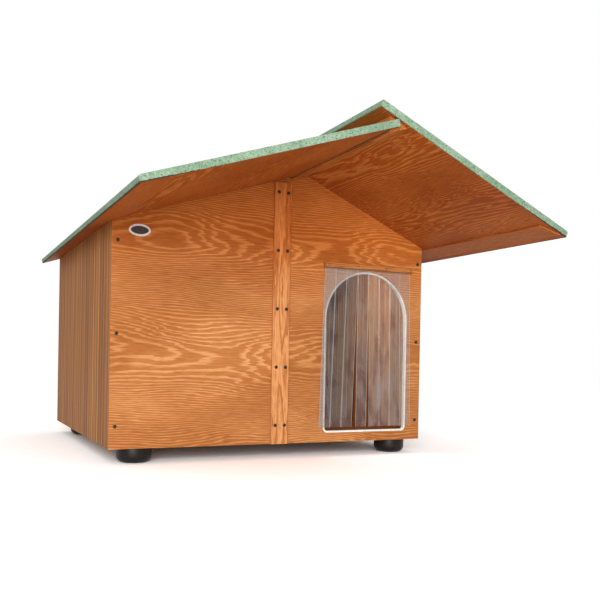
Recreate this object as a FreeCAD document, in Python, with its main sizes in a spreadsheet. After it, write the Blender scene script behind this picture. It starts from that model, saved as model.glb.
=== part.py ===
import FreeCAD, Part
import math
import os
import re
import Sketcher

# Large wooden dog house with a porch roof: two plywood gable walls, tongue-and-groove
# side walls, a floor on six bearers and four feet, and two felt-covered roof panels of
# unequal pitch. The right panel overshoots the ridge. The left panel is hinged to the
# ridge beam beneath it and lifts. A curtain of clear strips hangs outside the doorway.
#
# Walls are laid out with x from the left wall's outer face, y from the front wall's
# outer face towards the rear and z from the underside of the walls, which is the top of
# the feet. The frame's origin is on the ground, under the middle of the whole outline.

SIZES = [
    # walls and floor
    ("wall_width", 1340),
    ("wall_depth", 1278),
    ("eaves_height", 829),
    ("ridge_across", 764),
    ("ridge_rise", 255),
    ("joint_from_ridge", 94),
    ("panel_thick", 12),
    ("board_thick", 16),
    ("board_cover", 100),
    ("board_gap", 0.4),
    ("board_bevel", 3),
    ("tongue_thick", 5),
    ("tongue_length", 6),
    ("tongue_play", 0.3),
    ("post_size", 30),
    ("post_headroom", 4),
    ("plate_height", 45),
    ("plate_thick", 24),
    ("floor_thick", 16),
    ("floor_play", 0.2),
    ("bearer_width", 70),
    ("bearer_height", 22),
    ("sole_width", 24),
    ("arris", 1.5),
    ("cover_width", 72),
    ("cover_thick", 12),
    ("cover_headroom", 4),
    # feet
    ("foot_diameter", 130),
    ("foot_height", 57),
    ("foot_chamfer", 5),
    ("foot_from_side", 109),
    ("front_foot_inset", 67),
    ("rear_foot_inset", 158),
    # doorway and its edging
    ("door_width", 387),
    ("door_from_right", 271.5),
    ("door_sill", 44),
    ("door_spring", 509),
    ("door_rounding", 14),
    ("edging_wall", 1.5),
    ("edging_lap", 5.5),
    ("edging_play", 0.2),
    # strip curtain
    ("rail_overlap", 16.5),
    ("rail_height", 22),
    ("rail_depth", 27),
    ("rail_above_door", 13.5),
    ("rail_rounding", 6),
    ("tab_height", 15),
    ("curtain_lap", 11.5),
    ("strip_gap", 2),
    ("strip_thick", 2),
    ("strip_standoff", 5),
    ("strip_above_sill", 16.7),
    ("strip_top_play", 0.3),
    ("strip_lean_left", 18),
    ("strip_lean_right", 13),
    # roof panels
    ("porch_length", 745),
    ("rear_overhang", 40),
    ("left_eave", 78),
    ("right_eave", 96),
    ("overshoot", 99),
    ("deck_thick", 19),
    ("felt_thick", 3.5),
    ("felt_rounding", 8),
    ("eave_board_width", 72),
    ("eave_board_thick", 6),
    ("eave_board_gap", 6),
    ("eave_board_mitre", 30),
    ("lip_play", 1.2),
    ("lip_depth", 17),
    # ridge beam
    ("beam_left_reach", 53),
    ("beam_right_reach", 7),
    ("beam_toe", 6),
    ("beam_drop", 8),
    ("beam_end_gap", 2),
    ("ridge_gap", 6),
    ("notch_gap", 8),
    # roof hinges
    ("hinge_length", 60),
    ("hinge_inset", 330),
    ("leaf_thick", 2),
    ("roof_leaf_width", 26),
    ("beam_leaf_headroom", 2.5),
    ("barrel_radius", 4),
    ("pin_radius", 2),
    ("pin_play", 0.05),
    ("knuckle_play", 0.3),
    ("pin_head", 1.2),
]

STRIP_COUNT = 8

# How far a cutting outline runs past what it cuts.
SPARE = "1"

# Slopes of the two roof pitches, and heights of their undersides above a point x.
LEFT_SLOPE = "(ridge_rise / ridge_across)"
RIGHT_SLOPE = "(ridge_rise / (wall_width - ridge_across))"
LEFT_PITCH = f"atan({LEFT_SLOPE})"
RIGHT_PITCH = f"atan({RIGHT_SLOPE})"
ROOF_THICK = "(deck_thick + felt_thick)"


def under_left(across):
    """Height of the left panel's underside at a distance across the house."""
    return f"(eaves_height + ({across}) * {LEFT_SLOPE})"


def under_right(across):
    """Height of the right panel's underside at a distance across the house."""
    return f"(eaves_height + (wall_width - ({across})) * {RIGHT_SLOPE})"


# Middle joint of each gable wall, under its cover batten.
JOINT = "(ridge_across - joint_from_ridge)"

# Ridge beam: an upright left face, a top bedded on the right panel and a raked underside.
BEAM_LEFT = "(ridge_across - beam_left_reach)"
BEAM_RIGHT = "(ridge_across + beam_right_reach)"
BEAM_HEEL = f"({under_left(BEAM_LEFT)} - beam_drop)"
BEAM_FRONT = "(lip_depth + beam_end_gap - porch_length)"
BEAM_REAR = "(wall_depth + rear_overhang - beam_end_gap)"

# Roof panels, measured along their own slopes.
LEFT_LOW = f"(-left_eave / cos({LEFT_PITCH}))"
LEFT_HIGH = f"(({BEAM_LEFT} - ridge_gap) / cos({LEFT_PITCH}))"
# The lip's top corner stays just under the right panel.
LIP_HIGH = (f"((wall_width * {RIGHT_SLOPE} - lip_play"
            f" - {ROOF_THICK} * (cos({LEFT_PITCH}) - sin({LEFT_PITCH}) * {RIGHT_SLOPE}))"
            f" / (cos({LEFT_PITCH}) * {RIGHT_SLOPE} + sin({LEFT_PITCH})))")
RIGHT_LOW = f"(right_eave / cos({RIGHT_PITCH}))"
RIGHT_HIGH = f"(-(wall_width - ridge_across + overshoot) / cos({RIGHT_PITCH}))"

# Outermost points of the rounded eaves, which set the frame's origin.
LEFT_REACH = (f"((left_eave / cos({LEFT_PITCH}) - felt_rounding) * cos({LEFT_PITCH})"
              f" + ({ROOF_THICK} - felt_rounding) * sin({LEFT_PITCH}) + felt_rounding)")
RIGHT_REACH = (f"(({RIGHT_LOW} - felt_rounding) * cos({RIGHT_PITCH})"
               f" + ({ROOF_THICK} - felt_rounding) * sin({RIGHT_PITCH}) + felt_rounding)")
MIDDLE_X = f"((wall_width + {RIGHT_REACH} - {LEFT_REACH}) / 2)"
MIDDLE_Y = "((wall_depth + rear_overhang - porch_length) / 2)"

DOOR_CENTRE = "(wall_width - door_from_right)"
FLOOR_TOP = "(bearer_height + floor_thick)"
INSIDE_DEPTH = "(wall_depth - 2 * panel_thick)"
INSIDE_WIDTH = "(wall_width - 2 * board_thick)"

# Strip curtain: the strips hang below the rail, just clear of the doorway's edging.
RAIL_LENGTH = "(door_width + 2 * rail_overlap)"
RAIL_UNDERSIDE = "(door_spring + door_width / 2 + rail_above_door)"
CURTAIN_WIDTH = "(door_width + 2 * curtain_lap)"
CURTAIN_LEFT = f"({DOOR_CENTRE} + strip_gap - {CURTAIN_WIDTH} / 2)"
STRIP_PITCH = f"(({CURTAIN_WIDTH} + strip_gap) / {STRIP_COUNT})"
STRIP_WIDTH = f"({STRIP_PITCH} - strip_gap)"
STRIP_TOP = f"({RAIL_UNDERSIDE} - strip_top_play)"
STRIP_LENGTH = f"({STRIP_TOP} - door_sill - strip_above_sill)"

# Roof hinge: its axis lies clear of the felt and of the beam's left face by one barrel.
AXIS_X = f"({BEAM_LEFT} - barrel_radius)"
AXIS_Z = f"({under_left(AXIS_X)} + ({ROOF_THICK} + barrel_radius) / cos({LEFT_PITCH}))"
BEAM_LEAF_WIDTH = f"({under_right(BEAM_LEFT)} - {AXIS_Z} - beam_leaf_headroom)"
KNUCKLE = "(hinge_length / 3)"

doc = FreeCAD.newDocument("DogHouse")
sheet = doc.addObject("Spreadsheet::Sheet", "Sizes")
for row, (alias, size) in enumerate(SIZES, start=1):
    sheet.set(f"A{row}", alias)
    sheet.set(f"B{row}", str(size))
    sheet.setAlias(f"B{row}", alias)
doc.recompute()

ALIASES = re.compile(r"\b(" + "|".join(alias for alias, size in SIZES) + r")\b")
parts = []


def cells(text):
    """Point the size names in a formula at their cells."""
    return ALIASES.sub(r"Sizes.\1", str(text))


def number(text):
    """Value of a formula of sizes."""
    result = sheet.evalExpression(cells(text))
    return float(getattr(result, "Value", result))


def bind(thing, name, text):
    thing.setExpression(name, cells(text))


def place(thing, across="0", back="0", up="0"):
    """Place a piece by its own origin, given in the walls' layout."""
    bind(thing, "Placement.Base.x", f"{across} - {MIDDLE_X}")
    bind(thing, "Placement.Base.y", f"{back} - {MIDDLE_Y}")
    bind(thing, "Placement.Base.z", f"{up} + foot_height")


def tilt(thing, angle):
    """Turn a piece about the line of the ridge."""
    thing.Placement = FreeCAD.Placement(FreeCAD.Vector(), FreeCAD.Rotation(FreeCAD.Vector(0, 1, 0), 1))
    bind(thing, "Placement.Rotation.Angle", angle)


def new_body(label):
    body = doc.addObject("PartDesign::Body", label)
    body.Label = label
    parts.append(body)
    return body


def new_sketch(body, name, plane, lift="0"):
    """A sketch on one of the body's own planes, lifted along the plane's normal."""
    sketch = body.newObject("Sketcher::SketchObject", name)
    for feature in body.Origin.OriginFeatures:
        if feature.Role == plane:
            sketch.AttachmentSupport = [(feature, "")]
    sketch.MapMode = "FlatFace"
    if lift != "0":
        bind(sketch, "AttachmentOffset.Base.z", lift)
    return sketch


def hold(sketch, kind, geometry, point, text):
    """Fix one coordinate of a sketch point to a formula."""
    index = sketch.addConstraint(Sketcher.Constraint(kind, -1, 1, geometry, point, number(text)))
    bind(sketch, f"Constraints[{index}]", text)


def draw_outline(sketch, corners):
    """Closed outline of straight lines through corners given as formulas."""
    points = [FreeCAD.Vector(number(a), number(b), 0) for a, b in corners]
    first = sketch.GeometryCount
    count = len(points)
    for i in range(count):
        sketch.addGeometry(Part.LineSegment(points[i], points[(i + 1) % count]))
    for i in range(count):
        after = first + (i + 1) % count
        sketch.addConstraint(Sketcher.Constraint("Coincident", first + i, 2, after, 1))
    for i, (a, b) in enumerate(corners):
        hold(sketch, "DistanceX", first + i, 1, a)
        hold(sketch, "DistanceY", first + i, 1, b)


def draw_rectangle(sketch, low, high):
    """Rectangle between two corners given as formulas."""
    draw_outline(sketch, [low, (high[0], low[1]), high, (low[0], high[1])])


def draw_circle(sketch, radius):
    """Circle about the sketch's origin."""
    circle = Part.Circle(FreeCAD.Vector(), FreeCAD.Vector(0, 0, 1), number(radius))
    index = sketch.addGeometry(circle)
    sketch.addConstraint(Sketcher.Constraint("Coincident", index, 3, -1, 1))
    size = sketch.addConstraint(Sketcher.Constraint("Radius", index, number(radius)))
    bind(sketch, f"Constraints[{size}]", radius)


def draw_arch(sketch, grow):
    """Round-headed doorway outline with rounded bottom corners, grown outwards by a formula."""
    half = f"(door_width / 2 + {grow})"
    rounding = f"(door_rounding + {grow})"
    left = f"({DOOR_CENTRE} - {half})"
    right = f"({DOOR_CENTRE} + {half})"
    foot = f"(door_sill - {grow})"
    low = f"({foot} + {rounding})"
    near_left = f"({left} + {rounding})"
    near_right = f"({right} - {rounding})"

    def at(across, up):
        return FreeCAD.Vector(number(across), number(up), 0)

    def arc(across, up, radius, start, end):
        circle = Part.Circle(at(across, up), FreeCAD.Vector(0, 0, 1), number(radius))
        return Part.ArcOfCircle(circle, start, end)

    quarter = math.pi / 2
    loop = [
        Part.LineSegment(at(near_left, foot), at(near_right, foot)),
        arc(near_right, low, rounding, -quarter, 0),
        Part.LineSegment(at(right, low), at(right, "door_spring")),
        arc(DOOR_CENTRE, "door_spring", half, 0, 2 * quarter),
        Part.LineSegment(at(left, "door_spring"), at(left, low)),
        arc(near_left, low, rounding, 2 * quarter, 3 * quarter),
    ]
    first = sketch.GeometryCount
    for edge in loop:
        sketch.addGeometry(edge)
    for i in range(len(loop)):
        after = first + (i + 1) % len(loop)
        sketch.addConstraint(Sketcher.Constraint("Coincident", first + i, 2, after, 1))
    sill, right_corner, right_side, head, left_side, left_corner = range(first, first + len(loop))
    for line, point, across, up in (
            (sill, 1, near_left, foot), (sill, 2, near_right, foot),
            (right_side, 1, right, low), (right_side, 2, right, "door_spring"),
            (left_side, 1, left, "door_spring"), (left_side, 2, left, low)):
        hold(sketch, "DistanceX", line, point, across)
        hold(sketch, "DistanceY", line, point, up)
    hold(sketch, "DistanceX", right_corner, 3, near_right)
    hold(sketch, "DistanceY", head, 3, "door_spring")
    hold(sketch, "DistanceX", left_corner, 3, near_left)


def pad(body, sketch, length, reverse=False):
    feature = body.newObject("PartDesign::Pad", sketch.Name + "Pad")
    feature.Profile = sketch
    feature.Reversed = reverse
    bind(feature, "Length", length)
    doc.recompute()
    return feature


def cut(body, sketch, depth, reverse=False):
    """Pocket that must take material away."""
    before = body.Shape.Volume
    feature = body.newObject("PartDesign::Pocket", sketch.Name + "Pocket")
    feature.Profile = sketch
    feature.Reversed = reverse
    bind(feature, "Length", depth)
    doc.recompute()
    if body.Shape.Volume >= before - 1e-6:
        raise RuntimeError(f"{body.Label}: {sketch.Name} cuts nothing")
    return feature


def edges_where(feature, test):
    """Names of the edges whose middle and direction pass a test."""
    names = []
    for i, edge in enumerate(feature.Shape.Edges, start=1):
        low, high = edge.ParameterRange
        middle = (low + high) / 2
        if test(edge.valueAt(middle), edge.tangentAt(middle)):
            names.append(f"Edge{i}")
    if not names:
        raise RuntimeError(f"{feature.Label}: no edge to work on")
    return names


def dress(body, kind, base, names, size_name, size):
    """Fillet or chamfer of named edges."""
    feature = body.newObject(f"PartDesign::{kind}", f"{base.Name}{kind}")
    feature.Base = (base, names)
    bind(feature, size_name, size)
    doc.recompute()
    return feature


def timber(label, across, back, up, long_axis="y"):
    """Planed timber with its four long arrises taken off. Sizes are formulas."""
    (left, width), (front, depth), (low, height) = across, back, up
    body = new_body(label)
    plane, first, second, length = {
        "x": ("YZ_Plane", depth, height, width),
        "y": ("XZ_Plane", width, height, depth),
        "z": ("XY_Plane", width, depth, height),
    }[long_axis]
    sketch = new_sketch(body, label + "Section", plane)
    draw_rectangle(sketch, ("0", "0"), (first, second))
    solid = pad(body, sketch, length, reverse=long_axis == "y")
    direction = {"x": 0, "y": 1, "z": 2}[long_axis]
    names = edges_where(solid, lambda middle, along: abs(along[direction]) > 0.99)
    dress(body, "Chamfer", solid, names, "Size", "arris")
    place(body, left, front, low)
    return body


def foot(label, across, back):
    """Round plastic foot with a chamfered tread edge."""
    body = new_body(label)
    outline = new_sketch(body, label + "Outline", "XY_Plane")
    draw_circle(outline, "foot_diameter / 2")
    block = pad(body, outline, "foot_height")
    tread = edges_where(block, lambda middle, along: middle.z < 0.1)
    dress(body, "Chamfer", block, tread, "Size", "foot_chamfer")
    place(body, across, back, "-foot_height")


def make_feet():
    right = "wall_width - foot_from_side"
    rear = "wall_depth - rear_foot_inset"
    foot("foot_front_left", "foot_from_side", "front_foot_inset")
    foot("foot_front_right", right, "front_foot_inset")
    foot("foot_rear_left", "foot_from_side", rear)
    foot("foot_rear_right", right, rear)


def make_floor():
    """Bearers over the feet, sole plates under the side walls and the floor panel."""
    run = ("panel_thick", INSIDE_DEPTH)
    rise = ("0", "bearer_height")
    centres = {"left": "foot_from_side", "middle": JOINT,
               "right": "(wall_width - foot_from_side)"}
    for side, centre in centres.items():
        timber(f"floor_bearer_{side}", (f"{centre} - bearer_width / 2", "bearer_width"), run, rise)
    timber("left_sole_plate", ("board_thick", "sole_width"), run, rise)
    timber("right_sole_plate", ("wall_width - board_thick - sole_width", "sole_width"), run, rise)
    floor = new_body("floor_panel")
    outline = new_sketch(floor, "FloorOutline", "XY_Plane")
    draw_rectangle(outline, ("floor_play", "floor_play"),
                   (f"{INSIDE_WIDTH} - floor_play", f"{INSIDE_DEPTH} - floor_play"))
    pad(floor, outline, "floor_thick")
    place(floor, "board_thick", "panel_thick", "bearer_height")


def make_frame():
    """Corner posts on the floor and a plate along the top of each side wall."""
    post_height = f"(eaves_height - {FLOOR_TOP} - post_headroom)"
    sides = {"left": "board_thick", "right": "(wall_width - board_thick - post_size)"}
    ends = {"front": "panel_thick", "rear": "(wall_depth - panel_thick - post_size)"}
    for side, left in sides.items():
        for end, front in ends.items():
            timber(f"post_{end}_{side}", (left, "post_size"), (front, "post_size"),
                   (FLOOR_TOP, post_height), "z")
    run = ("panel_thick + post_size", f"{INSIDE_DEPTH} - 2 * post_size")
    low = "eaves_height - plate_height - post_headroom"
    timber("left_wall_plate", ("board_thick", "plate_thick"), run, (low, "plate_height"))
    timber("right_wall_plate", ("wall_width - board_thick - plate_thick", "plate_thick"),
           run, (low, "plate_height"))


def board_section(side):
    """One tongue-and-groove board in plan, its outer face at x = 0. Side is 1 or -1."""
    width = "(board_cover - board_gap)"
    near = "((board_thick - tongue_thick) / 2)"
    far = "((board_thick + tongue_thick) / 2)"
    slot = "(tongue_length + tongue_play)"
    corners = [
        ("board_bevel", "0"),
        ("0", "board_bevel"),
        ("0", f"{width} - board_bevel"),
        ("board_bevel", width),
        (near, width),
        (near, f"{width} + tongue_length"),
        (far, f"{width} + tongue_length"),
        (far, width),
        ("board_thick", width),
        ("board_thick", "0"),
        (f"{far} + tongue_play", "0"),
        (f"{far} + tongue_play", slot),
        (f"{near} - tongue_play", slot),
        (f"{near} - tongue_play", "0"),
    ]
    return [(f"{side} * ({x})", y) for x, y in corners]


def make_side_wall(label, outer, side, slope):
    """Wall of upright boards between the gable walls, bevelled to the roof on top."""
    body = new_body(label)
    body.AllowCompound = True
    section = new_sketch(body, label + "Section", "XY_Plane")
    draw_outline(section, board_section(side))
    top = f"(eaves_height + board_thick * {slope})"
    board = pad(body, section, top)
    row = body.newObject("PartDesign::LinearPattern", label + "Row")
    row.Originals = [board]
    row.Direction = (section, ["V_Axis"])
    row.Mode = "Spacing"
    bind(row, "Occurrences", f"ceil({INSIDE_DEPTH} / board_cover)")
    bind(row, "Offset", "board_cover")
    body.Tip = row
    doc.recompute()
    # the last board is ripped to the width that is left, and loses its tongue
    rip = new_sketch(body, label + "Rip", "XY_Plane")
    draw_rectangle(rip, (f"{side} * -{SPARE}", INSIDE_DEPTH),
                   (f"{side} * (board_thick + {SPARE})", f"{INSIDE_DEPTH} + 2 * board_cover"))
    cut(body, rip, f"{top} + {SPARE}", reverse=True)
    bevel = new_sketch(body, label + "Bevel", "XZ_Plane", SPARE)
    draw_outline(bevel, [
        ("0", "eaves_height"),
        (f"{side} * board_thick", top),
        (f"{side} * board_thick", f"{top} + {SPARE}"),
        ("0", f"{top} + {SPARE}"),
    ])
    cut(body, bevel, "wall_depth")
    place(body, outer, "panel_thick")


def gable_left_outline():
    """Left half of a gable wall, up to the joint."""
    return [
        ("0", "0"),
        (JOINT, "0"),
        (JOINT, under_left(JOINT)),
        ("0", "eaves_height"),
    ]


def gable_right_outline():
    """Right half of a gable wall, with the notch that the ridge beam is bedded in."""
    notch = f"({BEAM_LEFT} - notch_gap)"
    return [
        (JOINT, "0"),
        ("wall_width", "0"),
        ("wall_width", "eaves_height"),
        (BEAM_RIGHT, under_right(BEAM_RIGHT)),
        (BEAM_RIGHT, f"{under_right(BEAM_RIGHT)} - beam_toe"),
        (BEAM_LEFT, BEAM_HEEL),
        (notch, BEAM_HEEL),
        (notch, under_left(notch)),
        (JOINT, under_left(JOINT)),
    ]


def gable_panel(label, corners, back):
    body = new_body(label)
    outline = new_sketch(body, label + "Outline", "XZ_Plane")
    draw_outline(outline, corners)
    pad(body, outline, "panel_thick", reverse=True)
    place(body, "0", back)
    return body


def make_gable_walls():
    rear = "wall_depth - panel_thick"
    gable_panel("front_panel_left", gable_left_outline(), "0")
    front = gable_panel("front_panel_right", gable_right_outline(), "0")
    doorway = new_sketch(front, "Doorway", "XZ_Plane", SPARE)
    draw_arch(doorway, "0")
    cut(front, doorway, f"panel_thick + 2 * {SPARE}")
    gable_panel("rear_panel_left", gable_left_outline(), rear)
    gable_panel("rear_panel_right", gable_right_outline(), rear)
    left = f"({JOINT} - cover_width / 2)"
    cover = (left, "cover_width")
    rise = ("0", f"{under_left(left)} - cover_headroom")
    timber("front_cover_batten", cover, ("-cover_thick", "cover_thick"), rise, "z")
    timber("rear_cover_batten", cover, ("wall_depth", "cover_thick"), rise, "z")


def make_door_edging():
    """Plastic channel pushed over the doorway's cut edge, closed all round."""
    body = new_body("door_edging")
    outer = new_sketch(body, "EdgingOuter", "XZ_Plane", "edging_wall")
    draw_arch(outer, "edging_lap")
    pad(body, outer, "panel_thick + 2 * edging_wall", reverse=True)
    inner = new_sketch(body, "EdgingInner", "XZ_Plane", f"edging_wall + {SPARE}")
    draw_arch(inner, "(-edging_wall - edging_play)")
    cut(body, inner, f"panel_thick + 2 * (edging_wall + {SPARE})")
    # the slot between the two lips, which takes the panel's edge
    slot = new_sketch(body, "EdgingSlot", "XZ_Plane")
    draw_arch(slot, f"(edging_lap + {SPARE})")
    draw_arch(slot, "(-edging_play)")
    cut(body, slot, "panel_thick")
    place(body)


def make_strip_curtain():
    """Rebated rail, the strips' nailed tabs behind it and the strips that swing below it."""
    rebate = "(strip_standoff + strip_thick)"
    rail = new_body("curtain_rail")
    section = new_sketch(rail, "RailSection", "YZ_Plane")
    draw_outline(section, [
        ("-rail_depth", "0"),
        (f"-{rebate}", "0"),
        (f"-{rebate}", "tab_height"),
        ("0", "tab_height"),
        ("0", "rail_height"),
        ("-rail_depth", "rail_height"),
    ])
    bar = pad(rail, section, RAIL_LENGTH)
    front_top = edges_where(bar, lambda middle, along:
                            abs(along.x) > 0.99 and middle.y < -number("rail_depth") + 0.1)
    dress(rail, "Fillet", bar, front_top, "Radius", "rail_rounding")
    place(rail, f"{DOOR_CENTRE} - {RAIL_LENGTH} / 2", "0", RAIL_UNDERSIDE)
    tabs = new_body("curtain_tabs")
    tabs.AllowCompound = True
    outline = new_sketch(tabs, "TabOutline", "XZ_Plane")
    draw_rectangle(outline, ("0", "0"), (STRIP_WIDTH, "tab_height"))
    tab = pad(tabs, outline, "strip_thick", reverse=True)
    row = tabs.newObject("PartDesign::LinearPattern", "TabRow")
    row.Originals = [tab]
    row.Direction = (outline, ["H_Axis"])
    row.Mode = "Spacing"
    row.Occurrences = STRIP_COUNT
    bind(row, "Offset", STRIP_PITCH)
    tabs.Tip = row
    doc.recompute()
    place(tabs, CURTAIN_LEFT, f"-{rebate}", RAIL_UNDERSIDE)
    for index in range(STRIP_COUNT):
        strip = new_body(f"curtain_strip_{index + 1}")
        lean = "0"
        if index + 1 < STRIP_COUNT // 2:
            lean = "-strip_lean_left"
        if index + 1 > STRIP_COUNT // 2:
            lean = "strip_lean_right"
        shape = new_sketch(strip, f"StripOutline{index + 1}", "XZ_Plane")
        draw_outline(shape, [
            (lean, f"-{STRIP_LENGTH}"),
            (f"{lean} + {STRIP_WIDTH}", f"-{STRIP_LENGTH}"),
            (STRIP_WIDTH, "0"),
            ("0", "0"),
        ])
        pad(strip, shape, "strip_thick", reverse=True)
        place(strip, f"{CURTAIN_LEFT} + {index} * {STRIP_PITCH}", f"-{rebate}", STRIP_TOP)


def make_ridge_beam():
    body = new_body("ridge_beam")
    section = new_sketch(body, "BeamSection", "XZ_Plane")
    draw_outline(section, [
        (BEAM_LEFT, BEAM_HEEL),
        (BEAM_RIGHT, f"{under_right(BEAM_RIGHT)} - beam_toe"),
        (BEAM_RIGHT, under_right(BEAM_RIGHT)),
        (BEAM_LEFT, under_right(BEAM_LEFT)),
    ])
    pad(body, section, f"{BEAM_REAR} - {BEAM_FRONT}", reverse=True)
    place(body, "0", BEAM_FRONT)


def left_panel_outline(inset):
    """Left roof panel in plan, with the lip that covers the beam's front end."""
    front = f"({inset} - porch_length)"
    rear = f"(wall_depth + rear_overhang - {inset})"
    return [
        (f"{LEFT_LOW} + {inset}", front),
        (f"{LIP_HIGH} - {inset}", front),
        (f"{LIP_HIGH} - {inset}", f"lip_depth - porch_length - {inset}"),
        (f"{LEFT_HIGH} - {inset}", f"lip_depth - porch_length - {inset}"),
        (f"{LEFT_HIGH} - {inset}", rear),
        (f"{LEFT_LOW} + {inset}", rear),
    ]


def right_panel_outline(inset):
    """Right roof panel in plan, from its overshoot beyond the ridge down to its eave."""
    front = f"({inset} - porch_length)"
    rear = f"(wall_depth + rear_overhang - {inset})"
    return [
        (f"{RIGHT_HIGH} + {inset}", front),
        (f"{RIGHT_LOW} - {inset}", front),
        (f"{RIGHT_LOW} - {inset}", rear),
        (f"{RIGHT_HIGH} + {inset}", rear),
    ]


def roof_panel(name, outline, eave, across, pitch):
    """Plywood deck and the mineral felt folded down over all its edges."""
    deck = new_body(f"{name}_deck")
    deck_sketch = new_sketch(deck, f"{name}DeckOutline", "XY_Plane")
    draw_outline(deck_sketch, outline("felt_thick"))
    pad(deck, deck_sketch, "deck_thick")
    felt = new_body(f"{name}_felt")
    felt_sketch = new_sketch(felt, f"{name}FeltOutline", "XY_Plane")
    draw_outline(felt_sketch, outline("0"))
    sheet_pad = pad(felt, felt_sketch, ROOF_THICK)
    fold = edges_where(sheet_pad, lambda middle, along:
                       abs(along.y) > 0.99 and abs(middle.x - number(eave)) < 0.1
                       and middle.z > number("deck_thick"))
    dress(felt, "Fillet", sheet_pad, fold, "Radius", "felt_rounding")
    inside = new_sketch(felt, f"{name}FeltInside", "XY_Plane")
    draw_outline(inside, outline("felt_thick"))
    cut(felt, inside, "deck_thick", reverse=True)
    for piece in (deck, felt):
        tilt(piece, pitch)
        place(piece, across, "0", "eaves_height")


def make_roof():
    roof_panel("left_roof", left_panel_outline, LEFT_LOW, "0", f"-{LEFT_PITCH}")
    roof_panel("right_roof", right_panel_outline, RIGHT_LOW, "wall_width", RIGHT_PITCH)
    board = new_body("right_eave_board")
    outline = new_sketch(board, "EaveBoardOutline", "XY_Plane")
    near = "eave_board_gap"
    far = "(eave_board_gap + eave_board_width)"
    front = "(felt_thick - porch_length)"
    rear = "(wall_depth + rear_overhang - felt_thick)"
    draw_outline(outline, [
        (near, f"{front} + eave_board_mitre"),
        (far, front),
        (far, rear),
        (near, rear),
    ])
    pad(board, outline, "eave_board_thick", reverse=True)
    tilt(board, RIGHT_PITCH)
    place(board, "wall_width", "0", "eaves_height")


def hinge_leaf(label, plate, knuckles, reliefs):
    """Leaf with its knuckles on the hinge axis. Spans run along the axis from its front end."""
    body = new_body(label)
    outline = new_sketch(body, f"{label}Plate", "XZ_Plane")
    draw_rectangle(outline, plate[0], plate[1])
    pad(body, outline, "hinge_length", reverse=True)
    for index, (start, end) in enumerate(reliefs):
        relief = new_sketch(body, f"{label}Relief{index}", "XZ_Plane", f"-({start})")
        draw_circle(relief, "barrel_radius + knuckle_play")
        cut(body, relief, f"{end} - ({start})")
    for index, (start, end) in enumerate(knuckles):
        knuckle = new_sketch(body, f"{label}Knuckle{index}", "XZ_Plane", f"-({start})")
        draw_circle(knuckle, "barrel_radius")
        pad(body, knuckle, f"{end} - ({start})", reverse=True)
    bore = new_sketch(body, f"{label}Bore", "XZ_Plane", SPARE)
    draw_circle(bore, "pin_radius + pin_play")
    cut(body, bore, f"hinge_length + 2 * {SPARE}")
    return body


def hinge_pin(label):
    """Headed pin along the hinge axis."""
    body = new_body(label)
    profile = new_sketch(body, f"{label}Profile", "XY_Plane")
    draw_outline(profile, [
        ("0", "-pin_head"),
        ("pin_radius + pin_head", "-pin_head"),
        ("pin_radius + pin_head", "0"),
        ("pin_radius", "0"),
        ("pin_radius", "hinge_length"),
        ("0", "hinge_length"),
    ])
    turned = body.newObject("PartDesign::Revolution", f"{label}Turned")
    turned.Profile = profile
    turned.ReferenceAxis = (profile, ["V_Axis"])
    turned.Angle = 360
    doc.recompute()
    return body


def make_hinges():
    """Butt hinges spread along the ridge: fixed leaf on the beam, moving leaf on the felt."""
    play = "knuckle_play"
    middle = [(f"{KNUCKLE} + {play}", f"2 * {KNUCKLE} - {play}")]
    outer = [("0", KNUCKLE), (f"2 * {KNUCKLE}", "hinge_length")]
    beam_plate = (("barrel_radius - leaf_thick", "0"), ("barrel_radius", BEAM_LEAF_WIDTH))
    roof_plate = (("-roof_leaf_width", "-barrel_radius"), ("0", "leaf_thick - barrel_radius"))
    beam_relief = [(KNUCKLE, f"2 * {KNUCKLE}")]
    roof_relief = [(f"-{SPARE}", f"{KNUCKLE} + {play}"),
                   (f"2 * {KNUCKLE} - {play}", f"hinge_length + {SPARE}")]
    first = "(hinge_inset - porch_length - hinge_length / 2)"
    last = "(wall_depth + rear_overhang - hinge_inset - hinge_length / 2)"
    names = ("front", "middle", "rear")
    for index, name in enumerate(names):
        back = f"({first} + ({last} - {first}) * {index} / {len(names) - 1})"
        beam_leaf = hinge_leaf(f"{name}_hinge_beam_leaf", beam_plate, outer, beam_relief)
        roof_leaf = hinge_leaf(f"{name}_hinge_roof_leaf", roof_plate, middle, roof_relief)
        pin = hinge_pin(f"{name}_hinge_pin")
        tilt(roof_leaf, f"-{LEFT_PITCH}")
        for piece in (beam_leaf, roof_leaf, pin):
            place(piece, AXIS_X, back, AXIS_Z)


def check_objects():
    """Stop if any object failed to rebuild or any piece is empty or broken."""
    for thing in doc.Objects:
        if "Invalid" in thing.State or "Error" in thing.State:
            raise RuntimeError(f"{thing.Label} failed to rebuild")
    for piece in parts:
        if piece.Shape.isNull() or not piece.Shape.isValid() or not piece.Shape.Solids:
            raise RuntimeError(f"{piece.Label} has no valid solid")


make_feet()
make_floor()
make_frame()
make_side_wall("left_wall_boards", "0", "1", LEFT_SLOPE)
make_side_wall("right_wall_boards", "wall_width", "-1", RIGHT_SLOPE)
make_gable_walls()
make_door_edging()
make_strip_curtain()
make_ridge_beam()
make_roof()
make_hinges()
doc.recompute()
check_objects()
os.makedirs("parts", exist_ok=True)
for part in parts:
    part.Shape.exportStep(f"parts/{part.Label}.step")
print(len(parts), "pieces, hinge axis at", round(number(f"{AXIS_X} - {MIDDLE_X}"), 3),
      round(number(f"{AXIS_Z} + foot_height"), 3))
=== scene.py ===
"""Looks of a large wooden dog house with a porch roof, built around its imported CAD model."""
import math

import bmesh
import bpy
from bpy.props import FloatProperty, FloatVectorProperty
from mathutils import Matrix, Vector


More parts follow.
